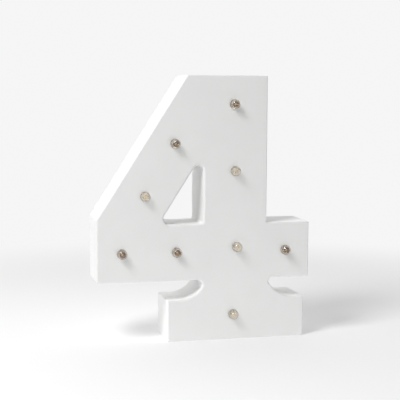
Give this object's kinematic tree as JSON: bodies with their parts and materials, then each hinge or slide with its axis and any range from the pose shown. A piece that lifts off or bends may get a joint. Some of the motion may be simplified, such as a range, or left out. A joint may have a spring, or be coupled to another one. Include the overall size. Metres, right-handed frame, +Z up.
{
  "type": "light up marquee number",
  "caption": "Free-standing hollow white numeral 4 with small clear lamps in its face, a cell housing with hinged door and a slide switch in its back, and a keyhole to hang it by.",
  "frame": {"origin": "in the underside of the foot, under the middle of the stem and halfway through the case", "axes": "+X to the right seen from the front, +Y from the face to the back, +Z up"},
  "size_m": [0.1807, 0.0524, 0.22],
  "materials": {
    "painted_board": "matt white paint over papered board, faintly uneven",
    "clear_lens": "clear moulded epoxy, polished",
    "lead_frame": "tinned, dull",
    "phosphor": "yellow phosphor in resin",
    "hot_glue": "cloudy hot-melt",
    "red_insulation": "soft insulation",
    "black_insulation": "soft insulation",
    "housing_plastic": "white moulding, finely textured",
    "cell_can": "plain wrapped cell, satin",
    "contact_steel": "nickel-plated spring steel",
    "screw_steel": "zinc-plated",
    "switch_plastic": "black moulding"
  },
  "bodies": {
    "case": {"front_panel": "painted_board", "back_panel": "painted_board", "counter_wall": "painted_board", "wall_foot_underside": "painted_board", "wall_foot_left": "painted_board", "wall_foot_right": "painted_board", "wall_bracket_left": "painted_board", "wall_bracket_right": "painted_board", "wall_bar_underside": "painted_board", "wall_arm_underside": "painted_board", "wall_left_end": "painted_board", "wall_diagonal": "painted_board", "wall_top": "painted_board", "wall_stem_right": "painted_board", "wall_arm_top": "painted_board", "wall_arm_end": "painted_board", "lamp_lenses": "clear_lens", "lamp_cathodes": "lead_frame", "lamp_anodes": "lead_frame", "lamp_chips": "phosphor", "glue_dabs": "hot_glue", "positive_wire": "red_insulation", "negative_wire": "black_insulation", "switch_lead": "black_insulation", "battery_housing": "housing_plastic", "cell_left": "cell_can", "cell_right": "cell_can", "positive_contact": "contact_steel", "negative_contact": "contact_steel", "bridge_contact": "contact_steel", "housing_screws": "screw_steel", "switch_shell": "contact_steel", "switch_body": "switch_plastic", "switch_terminals": "lead_frame"},
    "door": {"battery_door": "housing_plastic"},
    "switch": {"switch_knob": "switch_plastic"}
  },
  "joints": [
    {"name": "door_hinge", "type": "hinge", "parent": "case", "child": "door", "pos_m": [0, 0.02125, 0.1005], "axis": [-1, 0, 0], "range_deg": [0, 90]},
    {"name": "switch_slide", "type": "slide", "parent": "case", "child": "switch", "axis": [1, 0, 0], "range_m": [0, 0.003]}
  ]
}
